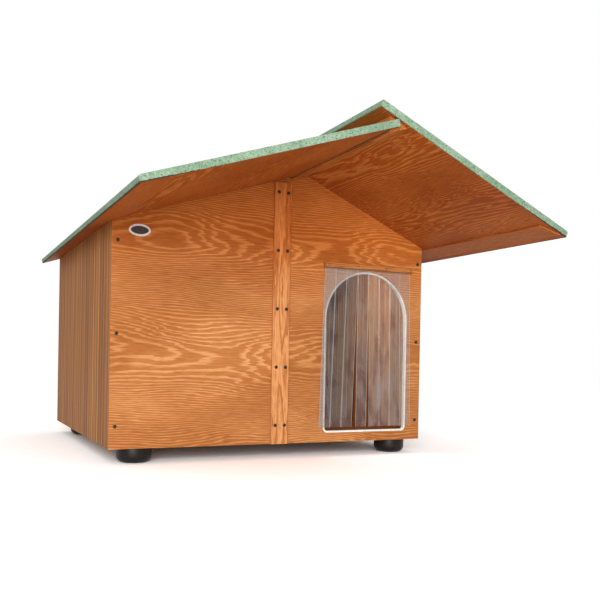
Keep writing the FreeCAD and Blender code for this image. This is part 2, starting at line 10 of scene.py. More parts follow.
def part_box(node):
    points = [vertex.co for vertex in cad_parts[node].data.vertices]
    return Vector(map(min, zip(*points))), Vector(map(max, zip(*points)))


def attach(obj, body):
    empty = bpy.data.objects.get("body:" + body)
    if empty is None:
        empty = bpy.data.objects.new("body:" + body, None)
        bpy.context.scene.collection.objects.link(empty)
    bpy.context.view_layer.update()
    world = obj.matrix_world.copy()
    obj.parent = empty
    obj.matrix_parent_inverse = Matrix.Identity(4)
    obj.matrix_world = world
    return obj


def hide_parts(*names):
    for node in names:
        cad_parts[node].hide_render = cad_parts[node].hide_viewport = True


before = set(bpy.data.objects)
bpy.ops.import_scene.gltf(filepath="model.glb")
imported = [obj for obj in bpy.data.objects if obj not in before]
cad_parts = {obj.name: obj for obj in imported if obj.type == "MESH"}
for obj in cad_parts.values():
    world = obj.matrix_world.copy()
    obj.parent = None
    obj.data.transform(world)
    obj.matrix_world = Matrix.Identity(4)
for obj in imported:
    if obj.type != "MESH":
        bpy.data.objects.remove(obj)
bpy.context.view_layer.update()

bl_info = {
    "name": "Dog house looks",
    "version": (1, 0, 0),
    "blender": (4, 5, 0),
    "location": "View3D > Sidebar > Dog house",
    "description": "Finishes, fixings, strip curtain and studio stage of a wooden dog house",
    "category": "Object",
}

MM = 0.001
ALONG_X, ALONG_Y, ALONG_Z = Vector((1, 0, 0)), Vector((0, 1, 0)), Vector((0, 0, 1))

STRIP_SHADES = (0.1, 0.0, 0.1, 0.5, 0.65, 0.75, 0.6, 1.0)  # painted shade of each strip, from the left: a lower value is darker and a little less clear
HELD = 120 * MM  # length under the rail in which a strip takes up its unevenness
RIPPLE_SPAN = 110 * MM  # width of a strip's unevenness
NAIL_SHARES = (0.03, 0.36, 0.68, 0.97)  # places of the rail's nails along its length
BATTEN_PAIRS, EDGE_SCREWS = 5, 3  # screws up a cover batten's side and up a wall's edge
HEAD_STEPS = ((0.16, 0.35), (0.1, 0.12))  # shares of a screw head inwards and of its dome outwards
SLOT_SHARE = 0.22  # width of a recess's slots as a share of their length
BOARD = 100 * MM  # width that a side board shows
LOG_ROUND = 0.86  # distance round the log that the veneer was peeled from, in metres
SHEET_STEP = 0.83  # from one sheet of veneer to the next across the wood, in metres
PLY = 2.4 * MM  # thickness of one ply
GRANULE = 3.6 * MM  # grain of the slate, drawn at three times its size so that it shows
FELT_SHADOW = 5 * MM  # height of the painted shadow along the felt's lower edge

# How a Mix node treats its first colour: covers it with the second, or tints it.
COVERED = {"data_type": "RGBA"}
TINTED = {"data_type": "RGBA", "blend_type": "MULTIPLY"}

# Each lamp's place, the point that it faces and the side of its square, in metres.
KEY_LAMP = ((-2.6, -5.8, 1.62), (0, 0, 0.6), 3.0)
CABIN_LAMP = ((0.3, 0.0, 0.85), (0.64, -0.1, 0.4), 0.35)

# Corners that places are measured from: the two front panels together make the front wall.
WALL_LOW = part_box("front_panel_left")[0]
WALL_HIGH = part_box("front_panel_right")[1]
REAR_LOW, REAR_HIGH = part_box("rear_panel_left")[0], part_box("rear_panel_right")[1]
BATTEN_LOW, BATTEN_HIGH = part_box("front_cover_batten")


def roof_normal(side):
    """The way a roof panel's upper face looks, from the lowest corners at its deck's two ends."""
    points = [vertex.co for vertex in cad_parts[f"{side}_roof_deck"].data.vertices]
    ends = [furthest(point.x for point in points) for furthest in (min, max)]
    left, right = [min((point for point in points if abs(point.x - end) < MM),
                       key=lambda point: point.z) for end in ends]
    turn = math.atan2(right.z - left.z, right.x - left.x)
    return Vector((-math.sin(turn), 0, math.cos(turn)))


def linear(colour):
    """An sRGB hex colour as linear RGBA."""
    channels = [int(colour[i:i + 2], 16) / 255 for i in (1, 3, 5)]
    return [c / 12.92 if c <= 0.04045 else ((c + 0.055) / 1.055) ** 2.4 for c in channels] + [1]


# --------------------------------------------------------------------------- settings


class FinishSettings(bpy.types.PropertyGroup):
    """Stain and felt colours."""

    wall_pale: FloatVectorProperty(
        name="Wall, early wood", description="Paler wood of the stained gable walls", subtype="COLOR",
        default=linear("#dc9e66")[:3], min=0, max=1)
    wall_dark: FloatVectorProperty(
        name="Wall, late wood", description="Darker lines of the stained gable walls", subtype="COLOR",
        default=linear("#be7b44")[:3], min=0, max=1)
    roof_pale: FloatVectorProperty(
        name="Roof, early wood", description="Paler wood of the stained roof panels", subtype="COLOR",
        default=linear("#c87a3b")[:3], min=0, max=1)
    roof_dark: FloatVectorProperty(
        name="Roof, late wood", description="Darker lines of the stained roof panels", subtype="COLOR",
        default=linear("#a8551f")[:3], min=0, max=1)
    felt: FloatVectorProperty(
        name="Felt", description="Colour of the palest slate granules", subtype="COLOR",
        default=linear("#98ac94")[:3], min=0, max=1)


class StageSettings(bpy.types.PropertyGroup):
    """Camera, lamps and floor."""

    camera_place: FloatVectorProperty(
        name="Camera place", description="Camera position beside the house",
        default=(-1.2413, -3.0404, 0.402), subtype="TRANSLATION")
    yaw: FloatProperty(
        name="Yaw", description="Turn of the view from straight ahead towards the right",
        default=math.radians(25.65), subtype="ANGLE")
    pitch: FloatProperty(
        name="Pitch", description="Rise of the view above level",
        default=math.radians(-0.399), subtype="ANGLE")
    roll: FloatProperty(
        name="Roll", description="Turn of the camera about its own axis",
        default=math.radians(1.065), subtype="ANGLE")
    lens: FloatProperty(
        name="Lens", description="Focal length on a 36 mm wide sensor",
        default=45.42, unit="CAMERA")
    rise: FloatProperty(
        name="Rise", description="Upward lens shift, as a share of the picture's width",
        default=0.1047)
    sky: FloatProperty(
        name="Sky", description="Strength of the even light from all sides", default=0.62, min=0)
    key: FloatProperty(
        name="Key lamp", description="Power of the large lamp in front", default=330, min=0,
        unit="POWER")
    inner: FloatProperty(
        name="Inner lamp", description="Power of the weak lamp inside the cabin", default=2, min=0,
        unit="POWER")
    floor_colour: FloatVectorProperty(
        name="Floor colour", description="Colour that the floor throws back", subtype="COLOR",
        default=(0.8, 0.8, 0.8))
    floor_seen: FloatVectorProperty(
        name="Floor seen", description="Colour that the camera sees on the floor", subtype="COLOR",
        default=(1.6, 1.6, 1.6), soft_max=2)


class ScrewSettings(bpy.types.PropertyGroup):
    """Black screws through the gable walls."""

    head: FloatProperty(
        name="Head", description="Diameter of a screw head", default=13 * MM, unit="LENGTH")
    dome: FloatProperty(
        name="Dome", description="Height of a screw head", default=3 * MM, unit="LENGTH")
    recess: FloatProperty(
        name="Recess", description="Length of the cross recess", default=6.5 * MM, unit="LENGTH")
    gauge: FloatProperty(
        name="Gauge", description="Spacing across the cover batten", default=40 * MM, unit="LENGTH")
    first: FloatProperty(
        name="First pair", description="Height of the lowest batten screws",
        default=75 * MM, unit="LENGTH")
    pitch: FloatProperty(
        name="Pitch", description="Spacing up the cover batten", default=230.5 * MM, unit="LENGTH")
    edge_inset: FloatProperty(
        name="Edge inset", description="Distance of the outer screws from the wall's edge",
        default=22 * MM, unit="LENGTH")
    edge_first: FloatProperty(
        name="First edge screw", description="Height of the lowest outer screw",
        default=83 * MM, unit="LENGTH")
    edge_pitch: FloatProperty(
        name="Edge pitch", description="Spacing of the outer screws", default=337.5 * MM, unit="LENGTH")


class FootSettings(bpy.types.PropertyGroup):
    """Round feet, which take their diameter and height from the CAD model."""

    rounding: FloatProperty(
        name="Rounding", description="Radius of the lower edge", default=28 * MM, unit="LENGTH")
    rim: FloatProperty(
        name="Rim", description="Radius of the upper edge", default=2 * MM, unit="LENGTH")
    hollow: FloatProperty(
        name="Hollow", description="Depth of the recess in the sole", default=3 * MM, unit="LENGTH")


class BadgeSettings(bpy.types.PropertyGroup):
    """Bare oval plate on the front wall."""

    width: FloatProperty(
        name="Width", description="Length of the oval", default=81 * MM, unit="LENGTH")
    height: FloatProperty(
        name="Height", description="Height of the oval", default=45 * MM, unit="LENGTH")
    thick: FloatProperty(
        name="Thickness", description="Thickness of the plate", default=2 * MM, unit="LENGTH")
    rim: FloatProperty(
        name="Rim", description="Width of the bright rim", default=6.5 * MM, unit="LENGTH")
    across: FloatProperty(
        name="Across", description="Distance from the wall's left edge",
        default=101.5 * MM, unit="LENGTH")
    up: FloatProperty(
        name="Up", description="Height above the wall's lower edge", default=800 * MM, unit="LENGTH")


class CurtainSettings(bpy.types.PropertyGroup):
    """Clear strips of the doorway's curtain."""

    thick: FloatProperty(
        name="Thickness", description="Thickness of a strip", default=2 * MM, unit="LENGTH")
    ripple: FloatProperty(
        name="Ripple", description="Depth of the unevenness of a strip",
        default=2.4 * MM, unit="LENGTH")
    nail: FloatProperty(
        name="Nail", description="Diameter of a nail head in the rail", default=6 * MM, unit="LENGTH")


# --------------------------------------------------------------------------- modelling aids


def deselect():
    bpy.ops.object.select_all(action="DESELECT")


def select_alone(piece):
    deselect()
    piece.select_set(True)
    bpy.context.view_layer.objects.active = piece


def edit(piece):
    """Select one piece alone and enter edit mode with nothing selected in it."""
    select_alone(piece)
    bpy.ops.object.mode_set(mode="EDIT")
    bpy.ops.mesh.select_all(action="DESELECT")


def pick(kind, test):
    """Select the faces, edges or verts of the piece in edit mode that pass a test."""
    piece = bpy.context.edit_object
    bpy.ops.mesh.select_mode(type={"faces": "FACE", "edges": "EDGE", "verts": "VERT"}[kind])
    mesh = bmesh.from_edit_mesh(piece.data)
    for part in getattr(mesh, kind):
        part.select_set(bool(test(part)))
    mesh.select_flush_mode()
    bmesh.update_edit_mesh(piece.data)


def leave():
    bpy.ops.object.mode_set(mode="OBJECT")


def name_piece(label):
    """Name the piece just added and its mesh."""
    piece = bpy.context.object
    piece.name = label
    piece.data.name = label
    return piece


def settle(piece):
    """Put the piece's place, turn and scale into its mesh."""
    select_alone(piece)
    bpy.ops.object.transform_apply(location=True, rotation=True, scale=True)


def finish_with(piece, kind, **settings):
    """Add a modifier, set it and apply it."""
    select_alone(piece)
    modifier = piece.modifiers.new(kind.title(), kind)
    for name, value in settings.items():
        setattr(modifier, name, value)
    bpy.ops.object.modifier_apply(modifier=modifier.name)


def spread(piece, label, places, turn=0.0):
    """Copies of a piece at the given places, turned about Z, joined as one piece."""
    copies = []
    for place in places:
        copy = piece.copy()
        copy.data = piece.data.copy()
        copy.matrix_world = Matrix.Translation(place) @ Matrix.Rotation(turn, 4, "Z")
        bpy.context.collection.objects.link(copy)
        copies.append(copy)
    deselect()
    for copy in copies:
        copy.select_set(True)
    bpy.context.view_layer.objects.active = copies[0]
    if len(copies) > 1:
        bpy.ops.object.join()
    joined = name_piece(label)
    settle(joined)
    return joined


# --------------------------------------------------------------------------- material aids


def add_node(tree, kind, feeds=None, stops=(), ease="EASE", **settings):
    """Add a node, set its properties and feed its inputs.

    A feed is a value, a socket, or a node, which gives its first result. Stops are a ramp's
    (position, colour) pairs, where a colour is hex or comes from the settings.
    """
    node = tree.nodes.new(f"ShaderNode{kind}")
    for name, value in settings.items():
        setattr(node, name, value)
    for name, value in (feeds or {}).items():
        if isinstance(value, bpy.types.Node):
            value = next(result for result in value.outputs if result.enabled)
        if isinstance(value, bpy.types.NodeSocket):
            tree.links.new(value, node.inputs[name])
        else:
            node.inputs[name].default_value = value
    if stops:
        elements = node.color_ramp.elements
        node.color_ramp.interpolation = ease
        while len(elements) < len(stops):
            elements.new(0.5)
        for element, (position, colour) in zip(elements, stops):
            element.position = position
            element.color = linear(colour) if isinstance(colour, str) else (*colour, 1)
    return node


def new_material(label):
    """An empty material, its node tree and its texture coordinates."""
    material = bpy.data.materials.new(label)
    material.use_nodes = True
    tree = material.node_tree
    tree.nodes.clear()
    return material, tree, add_node(tree, "TexCoord")


def surface(tree, colour, bump=None, depth=0.0, **sockets):
    """The shader with its constant values on its own sockets, joined to the output."""
    feeds = {name.replace("_", " "): value for name, value in sockets.items()}
    feeds["Base Color"] = colour
    if bump is not None:
        feeds["Normal"] = add_node(tree, "Bump", {"Height": bump, "Distance": depth, "Strength": 1})
    shader = add_node(tree, "BsdfPrincipled", feeds)
    add_node(tree, "OutputMaterial", {"Surface": shader})


def mottled(label, grain, dark, pale, depth=0.0, detail=3, dark_share=0.3, **sockets):
    """A smooth made surface, whose colour and relief vary over spots of one size."""
    material, tree, coordinates = new_material(label)
    spots = add_node(tree, "TexNoise", {"Vector": coordinates.outputs["Object"],
                                        "Scale": 1 / grain, "Detail": detail})
    colour = add_node(tree, "ValToRGB", {0: spots}, [(dark_share, dark), (0.7, pale)])
    surface(tree, colour, spots if depth else None, depth, **sockets)
    return material


def seen_by(tree, *rays):
    """One for light on these kinds of path, and nought for the rest."""
    path = add_node(tree, "LightPath")
    seen = path.outputs[rays[0]]
    for ray in rays[1:]:
        seen = add_node(tree, "Math", {0: seen, 1: path.outputs[ray]}, operation="MAXIMUM")
    return seen


def finish_nodes(material, *nodes):
    """Give carried-over CAD nodes a material."""
    for node in nodes:
        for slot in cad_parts[node].material_slots:
            slot.material = material


def grain_frame(grain, normal):
    """Turn that brings the grain to X, the face's normal to Y and the width to Z."""
    return Matrix((grain, normal, grain.cross(normal))).to_euler()


def streaks(tree, space, length, width, detail=2.0):
    """Noise drawn out along the grain. Length and width are in metres."""
    stretch = add_node(tree, "Mapping", {"Vector": space, "Scale": (1 / length, 1 / width, 1 / width)})
    return add_node(tree, "TexNoise",
                    {"Vector": stretch, "Scale": 1, "Detail": detail, "Roughness": 0.5})


def weighted(tree, terms):
    """Sum of results times their weights."""
    total = 0.0
    for result, weight in terms:
        total = add_node(tree, "Math", {0: result, 1: weight, 2: total}, operation="MULTIPLY_ADD")
    return total


def paint_roof_shade(tree, coordinates, colour):
    """Painted shade: the colour darkens towards the top, close under the roof that shades it."""
    height = add_node(tree, "SeparateXYZ", {0: coordinates.outputs["Object"]}).outputs[2]
    # painted shade: none below 0.6 m, darkening to a warm tint by 0.92 m
    depth = add_node(tree, "ValToRGB", {0: height}, [(0.6, "#ffffff"), (0.92, "#fbd8ad")])
    return add_node(tree, "Mix", {0: 1.0, 6: colour, 7: depth}, **TINTED)


def veneer_rings(tree, space, level, jagged):
    """Growth rings of rotary-cut veneer, as a value that rises by one from ring to ring.

    The log isn't quite round, so twice in each turn the knife runs level with the rings.
    Slow noise closes them into islands there, and in between they lie close and calm.
    Sliding the wood along its grain by fine bands gives the contours their flame-like
    points. Level is a place across the sheet where the knife runs level with the rings,
    and jagged is the length of the slide. Each weight is a number of rings.
    """
    slide = weighted(tree, [(streaks(tree, space, 0.15, 0.014), jagged)])
    shift = add_node(tree, "CombineXYZ", {0: slide})
    slid = add_node(tree, "VectorMath", {0: space, 1: shift}, operation="ADD")
    width = add_node(tree, "SeparateXYZ", {0: space}).outputs[2]
    turn = math.tau / LOG_ROUND
    angle = add_node(tree, "Math", {0: width, 1: turn, 2: -level * turn}, operation="MULTIPLY_ADD")
    swing = add_node(tree, "Math", {0: angle}, operation="COSINE")
    return weighted(tree, [(swing, 19), (streaks(tree, slid, 0.6, 0.22, 1.3), 15),
                           (streaks(tree, slid, 0.05, 0.01), 0.5)])


def plywood(label, turn, pale, dark, edge, normal, sheet=0, level=0.0, jagged=0.12,
            lines=(0.14, 0.45), fine=1.0, roof_shade=False):
    """Stained softwood plywood: dark late wood between pale lines, and plies on its edges.

    Sheet picks another sheet of the same veneer, and fine packs its rings closer. Lines are
    the shares of a ring at which its pale part ends and its dark part starts. A sheet with
    roof shade gets painted shade, darker towards the top under the roof.
    """
    material, tree, coordinates = new_material(label)
    space = add_node(tree, "Mapping", {"Vector": coordinates.outputs["Object"],
                                       "Location": (0, sheet * SHEET_STEP, 0), "Rotation": turn})
    finer = add_node(tree, "VectorMath", {0: space, "Scale": fine}, operation="SCALE")
    phase = add_node(tree, "Math", {0: veneer_rings(tree, finer, level, jagged)}, operation="FRACT")
    figure = add_node(tree, "ValToRGB", {0: phase}, [(0.0, pale), (lines[0], pale), (lines[1], dark),
                                                     (0.88, dark), (1.0, pale)])
    pores = add_node(tree, "ValToRGB", {0: streaks(tree, space, 0.05, 0.003)},
                     [(0.3, "#ddd5cc"), (0.62, "#ffffff")])
    cloud = add_node(tree, "ValToRGB", {0: streaks(tree, space, 0.5, 0.22)},
                     [(0.35, "#e6d9cd"), (0.65, "#ffffff")])
    face = add_node(tree, "Mix", {0: 0.8, 6: figure, 7: pores}, **TINTED)
    face = add_node(tree, "Mix", {0: 1.0, 6: face, 7: cloud}, **TINTED)
    # painted shade, darker towards the top under the roof
    if roof_shade:
        face = paint_roof_shade(tree, coordinates, face)
    # the plies show where the face's normal lies across the sheet
    split = add_node(tree, "SeparateXYZ", {0: space})
    plies = add_node(tree, "Math", {0: split.outputs[1], 1: PLY}, operation="PINGPONG")
    layers = add_node(tree, "ValToRGB", {0: weighted(tree, [(plies, 1 / PLY)])},
                      [(0.35, edge[0]), (0.65, edge[1])])
    facing = add_node(tree, "VectorMath", {0: coordinates.outputs["Normal"], 1: normal},
                      operation="DOT_PRODUCT")
    flat = add_node(tree, "Math", {0: facing}, operation="ABSOLUTE")
    flat = add_node(tree, "Math", {0: flat, 1: 0.5}, operation="GREATER_THAN")
    colour = add_node(tree, "Mix", {0: flat, 6: layers, 7: face}, **COVERED)
    surface(tree, colour, bump=phase, depth=0.15 * MM, Roughness=0.5, Specular_IOR_Level=0.05)
    return material


def solid_timber(label, turn, pith, pale, dark, ring=6.5 * MM, roof_shade=False):
    """Planed softwood: rings about a pith that lies outside the section, so faces show cathedrals."""
    material, tree, coordinates = new_material(label)
    space = add_node(tree, "Mapping", {"Vector": coordinates.outputs["Object"], "Rotation": turn})
    across = add_node(tree, "VectorMath", {0: space, 1: (0, 1, 1)}, operation="MULTIPLY")
    reach = add_node(tree, "VectorMath", {0: across, 1: pith}, operation="DISTANCE")
    rings = weighted(tree, [(reach, 1 / ring), (streaks(tree, space, 0.45, 0.05, 1.0), 5.0),
                            (streaks(tree, space, 0.05, 0.008), 0.6)])
    phase = add_node(tree, "Math", {0: rings}, operation="FRACT")
    lines = add_node(tree, "ValToRGB", {0: phase}, [(0.0, pale), (0.35, pale), (0.8, dark),
                                                    (0.93, dark), (1.0, pale)])
    pores = add_node(tree, "ValToRGB", {0: streaks(tree, space, 0.04, 0.0025)},
                     [(0.3, "#cfc6bc"), (0.62, "#ffffff")])
    colour = add_node(tree, "Mix", {0: 0.8, 6: lines, 7: pores}, **TINTED)
    # painted shade, darker towards the top under the roof
    if roof_shade:
        colour = paint_roof_shade(tree, coordinates, colour)
    surface(tree, colour, bump=phase, depth=0.2 * MM, Roughness=0.5, Specular_IOR_Level=0.1)
    return material


# --------------------------------------------------------------------------- finishes


class DOGHOUSE_OT_gable_walls(bpy.types.Operator):
    """Stained plywood of the front and rear walls"""

    bl_idname = "doghouse.gable_walls"
    bl_label = "Gable walls"

    def execute(self, context):
        # Larch-faced plywood under an orange-brown satin stain: pale early wood, darker late wood.
        finish = context.scene.doghouse_finish
        turn = grain_frame(ALONG_X, ALONG_Y)
        # both walls get painted shade towards the top, under the porch roof
        for side, sheet in (("left", 10), ("right", 5)):
            material = plywood(f"stained larch plywood {side}", turn, finish.wall_pale,
                               finish.wall_dark, ("#8a4a20", "#b9773f"), ALONG_Y, sheet, level=0.834,
                               roof_shade=True)
            finish_nodes(material, f"front_panel_{side}", f"rear_panel_{side}")
        return {"FINISHED"}


class DOGHOUSE_OT_side_boards(bpy.types.Operator):
    """Duller stained boards of the side walls"""

    bl_idname = "doghouse.side_boards"
    bl_label = "Side boards"

    def execute(self, context):
        # Spruce tongue-and-groove boards, thinly stained, so each board keeps a tone of its own.
        material, tree, coordinates = new_material("stained spruce boards")
        place = coordinates.outputs["Object"]
        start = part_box("left_wall_boards")[0].y
        split = add_node(tree, "SeparateXYZ", {0: place})
        along = weighted(tree, [(split.outputs[1], 1 / BOARD)])
        counted = add_node(tree, "Math", {0: along, 1: start / BOARD}, operation="SUBTRACT")
        number = add_node(tree, "Math", {0: counted}, operation="FLOOR")
        tone = add_node(tree, "TexWhiteNoise", {"W": number}, noise_dimensions="1D")
        # each board is cut from another place in the wood
        jump = add_node(tree, "VectorMath", {0: tone.outputs["Color"], 1: (3, 3, 3)},
                        operation="MULTIPLY")
        moved = add_node(tree, "VectorMath", {0: place, 1: jump}, operation="ADD")
        space = add_node(tree, "Mapping", {"Vector": moved, "Rotation": grain_frame(ALONG_Z, ALONG_X)})
        broad = streaks(tree, space, 0.9, 0.018)
        fine = streaks(tree, space, 0.35, 0.0045)
        wood = add_node(tree, "ValToRGB", {0: weighted(tree, [(broad, 0.6), (fine, 0.4)])},
                        [(0.34, "#7c461b"), (0.5, "#a06228"), (0.64, "#bb7f40")])
        shade = add_node(tree, "ValToRGB", {0: tone}, [(0.0, "#d6cdc4"), (1.0, "#ffffff")], "LINEAR")
        colour = add_node(tree, "Mix", {0: 1.0, 6: wood, 7: shade}, **TINTED)
        # each board has a dark joint, a painted highlight on the arris beside it and a fainter painted
        # highlight by its middle
        across = add_node(tree, "Math", {0: counted}, operation="FRACT")
        arris_highlight = add_node(tree, "ValToRGB", {0: across}, [
            (0.03, "#000000"), (0.05, "#e0e0e0"), (0.09, "#e0e0e0"), (0.11, "#000000"),
            (0.5, "#000000"), (0.53, "#b4b4b4"), (0.56, "#b4b4b4"), (0.59, "#000000")])
        joint = add_node(tree, "ValToRGB", {0: across}, [
            (0.0, "#d0d0d0"), (0.03, "#000000"), (0.96, "#000000"), (1.0, "#d0d0d0")])
        # painted highlight on the arrises
        colour = add_node(tree, "Mix", {0: arris_highlight, 6: colour, 7: linear("#d7a56c")}, **COVERED)
        colour = add_node(tree, "Mix", {0: joint, 6: colour, 7: linear("#5f3a1c")}, **COVERED)
        surface(tree, colour, bump=fine, depth=0.4 * MM, Roughness=0.6, Specular_IOR_Level=0.15)
        finish_nodes(material, "left_wall_boards", "right_wall_boards")
        return {"FINISHED"}


class DOGHOUSE_OT_timber(bpy.types.Operator):
    """Planed timber: cover battens, ridge beam, curtain rail and eave board"""

    bl_idname = "doghouse.timber"
    bl_label = "Planed timber"

    def execute(self, context):
        # Planed pine under the stain of its neighbours: smooth, with long rings along each face.
        # the cover battens get painted shade towards the top, under the porch roof
        for label, grain, normal, pith, colours, settings, nodes in (
                ("stained upright pine", ALONG_Z, ALONG_Y, (0, 0.03, 0.01), ("#dd9b62", "#be7640"),
                 {"ring": 4.5 * MM, "roof_shade": True}, ("front_cover_batten", "rear_cover_batten")),
                ("stained beam pine", ALONG_Y, ALONG_Z, (0, 1.02, 0.06), ("#c87a38", "#94501f"),
                 {}, ("ridge_beam",)),
                ("stained rail pine", ALONG_X, ALONG_Y, (0, -0.33, 0.76), ("#c98348", "#a05a26"),
                 {"ring": 4.5 * MM}, ("curtain_rail",)),
                ("stained eave board", ALONG_Y, ALONG_Z, (0, 0.8, 0.75), ("#b8692f", "#94501f"),
                 {}, ("right_eave_board",))):
            material = solid_timber(label, grain_frame(grain, normal), pith, *colours, **settings)
            finish_nodes(material, *nodes)
        return {"FINISHED"}


class DOGHOUSE_OT_inner_frame(bpy.types.Operator):
    """Unstained sawn pine of the floor, posts and plates"""

    bl_idname = "doghouse.inner_frame"
    bl_label = "Inner frame"

    def execute(self, context):
        # Sawn pine and bare plywood, paler than the stained walls and dulled by use.
        for axis, across, label, nodes in (
                (ALONG_Y, ALONG_Z, "sawn pine lengthways",
                 ("floor_bearer_left", "floor_bearer_middle", "floor_bearer_right",
                  "left_sole_plate", "right_sole_plate", "left_wall_plate", "right_wall_plate")),
                (ALONG_Z, ALONG_Y, "sawn pine upright",
                 ("post_front_left", "post_front_right", "post_rear_left", "post_rear_right"))):
            material = solid_timber(label, grain_frame(axis, across), (0, 0.04, 0.02),
                                    "#c79a68", "#a8763f")
            finish_nodes(material, *nodes)
        floor = plywood("bare floor plywood", grain_frame(ALONG_Y, ALONG_Z), "#a8703e", "#8c5629",
                        ("#7a4a25", "#a87645"), ALONG_Z)
        finish_nodes(floor, "floor_panel")
        return {"FINISHED"}


class DOGHOUSE_OT_roof_decks(bpy.types.Operator):
    """Dark stained plywood of the roof panels"""

    bl_idname = "doghouse.roof_decks"
    bl_label = "Roof decks"

    def execute(self, context):
        # The same larch plywood under a darker stain, dull because no rain or sun reaches it.
        finish = context.scene.doghouse_finish
        for side in ("left", "right"):
            normal = roof_normal(side)
            material = plywood(f"{side} roof plywood", grain_frame(ALONG_Y, normal),
                               finish.roof_pale, finish.roof_dark, ("#6b3213", "#9a5a2b"), normal,
                               sheet=7, level=0.1, jagged=0.3, lines=(0.05, 0.5), fine=1.15)
            finish_nodes(material, f"{side}_roof_deck")
        return {"FINISHED"}


class DOGHOUSE_OT_roof_felt(bpy.types.Operator):
    """Green mineral felt over the roof panels"""

    bl_idname = "doghouse.roof_felt"
    bl_label = "Roof felt"

    def execute(self, context):
        # Bitumen felt dusted with green slate: dull and gritty, with a ragged painted shadow along
        # its lower edge.
        finish = context.scene.doghouse_finish
        for side in ("left", "right"):
            normal = roof_normal(side)
            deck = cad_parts[f"{side}_roof_deck"].data
            underside = min(vertex.co.dot(normal) for vertex in deck.vertices)
            material, tree, coordinates = new_material(f"green mineral felt {side}")
            place = coordinates.outputs["Object"]
            grit = add_node(tree, "TexVoronoi", {"Vector": place, "Scale": 1 / GRANULE})
            draw = add_node(tree, "SeparateXYZ", {0: grit.outputs["Color"]})
            tint = add_node(tree, "ValToRGB", {0: draw}, [(0.0, "#94a99e"), (0.14, "#cdd7d4"),
                                                          (0.6, "#e3ebe6"), (1.0, "#ffffff")])
            tint = add_node(tree, "Mix", {0: 1.0, 6: tint, 7: (*finish.felt, 1)}, **TINTED)
            patch = add_node(tree, "TexNoise", {"Vector": place, "Scale": 1 / (90 * MM), "Detail": 3})
            tone = add_node(tree, "ValToRGB", {0: patch}, [(0.3, "#e4ebe4"), (0.7, "#ffffff")])
            colour = add_node(tree, "Mix", {0: 1.0, 6: tint, 7: tone}, **TINTED)
            # the height over the deck's underside, counted in widths of the ragged painted shadow
            height = add_node(tree, "VectorMath", {0: place, 1: normal}, operation="DOT_PRODUCT")
            ragged = add_node(tree, "TexNoise", {"Vector": place, "Scale": 1 / (12 * MM), "Detail": 3})
            above = weighted(tree, [(height, 1 / FELT_SHADOW), (ragged, -1.6)])
            above = add_node(tree, "Math", {0: above, 1: underside / FELT_SHADOW}, operation="SUBTRACT")
            # painted shadow: a ragged dark band along the felt's lower edge, by the deck's underside
            cut = add_node(tree, "ValToRGB", {0: above}, [(0.0, "#ffffff"), (0.35, "#000000")])
            colour = add_node(tree, "Mix", {0: cut, 6: colour, 7: linear("#46312a")}, **COVERED)
            surface(tree, colour, bump=grit, depth=0.8 * MM, Roughness=0.9, Specular_IOR_Level=0.2)
            finish_nodes(material, f"{side}_roof_felt")
        return {"FINISHED"}


class DOGHOUSE_OT_door_edging(bpy.types.Operator):
    """White plastic edging of the doorway"""

    bl_idname = "doghouse.door_edging"
    bl_label = "Door edging"

    def execute(self, context):
        # Extruded PVC channel: smooth and slightly glossy, with a faint waviness.
        material = mottled("white edging plastic", 16.7 * MM, "#dcdcd8", "#f0f0ec", 0.3 * MM, 2,
                           Roughness=0.3)
        finish_nodes(material, "door_edging")
        return {"FINISHED"}


class DOGHOUSE_OT_hinges(bpy.types.Operator):
    """Zinc-plated hinges under the ridge"""

    bl_idname = "doghouse.hinges"
    bl_label = "Hinges"

    def execute(self, context):
        # Pressed steel with a thin bright zinc plating: grey, slightly clouded, softly shining.
        material = mottled("zinc-plated steel", 4.5 * MM, "#9b9c98", "#c9cac6", 0.1 * MM, 4,
                           Metallic=1.0, Roughness=0.38)
        finish_nodes(material, *(f"{end}_hinge_{part}" for end in ("front", "middle", "rear")
                                 for part in ("beam_leaf", "roof_leaf", "pin")))
        return {"FINISHED"}


# --------------------------------------------------------------------------- pieces


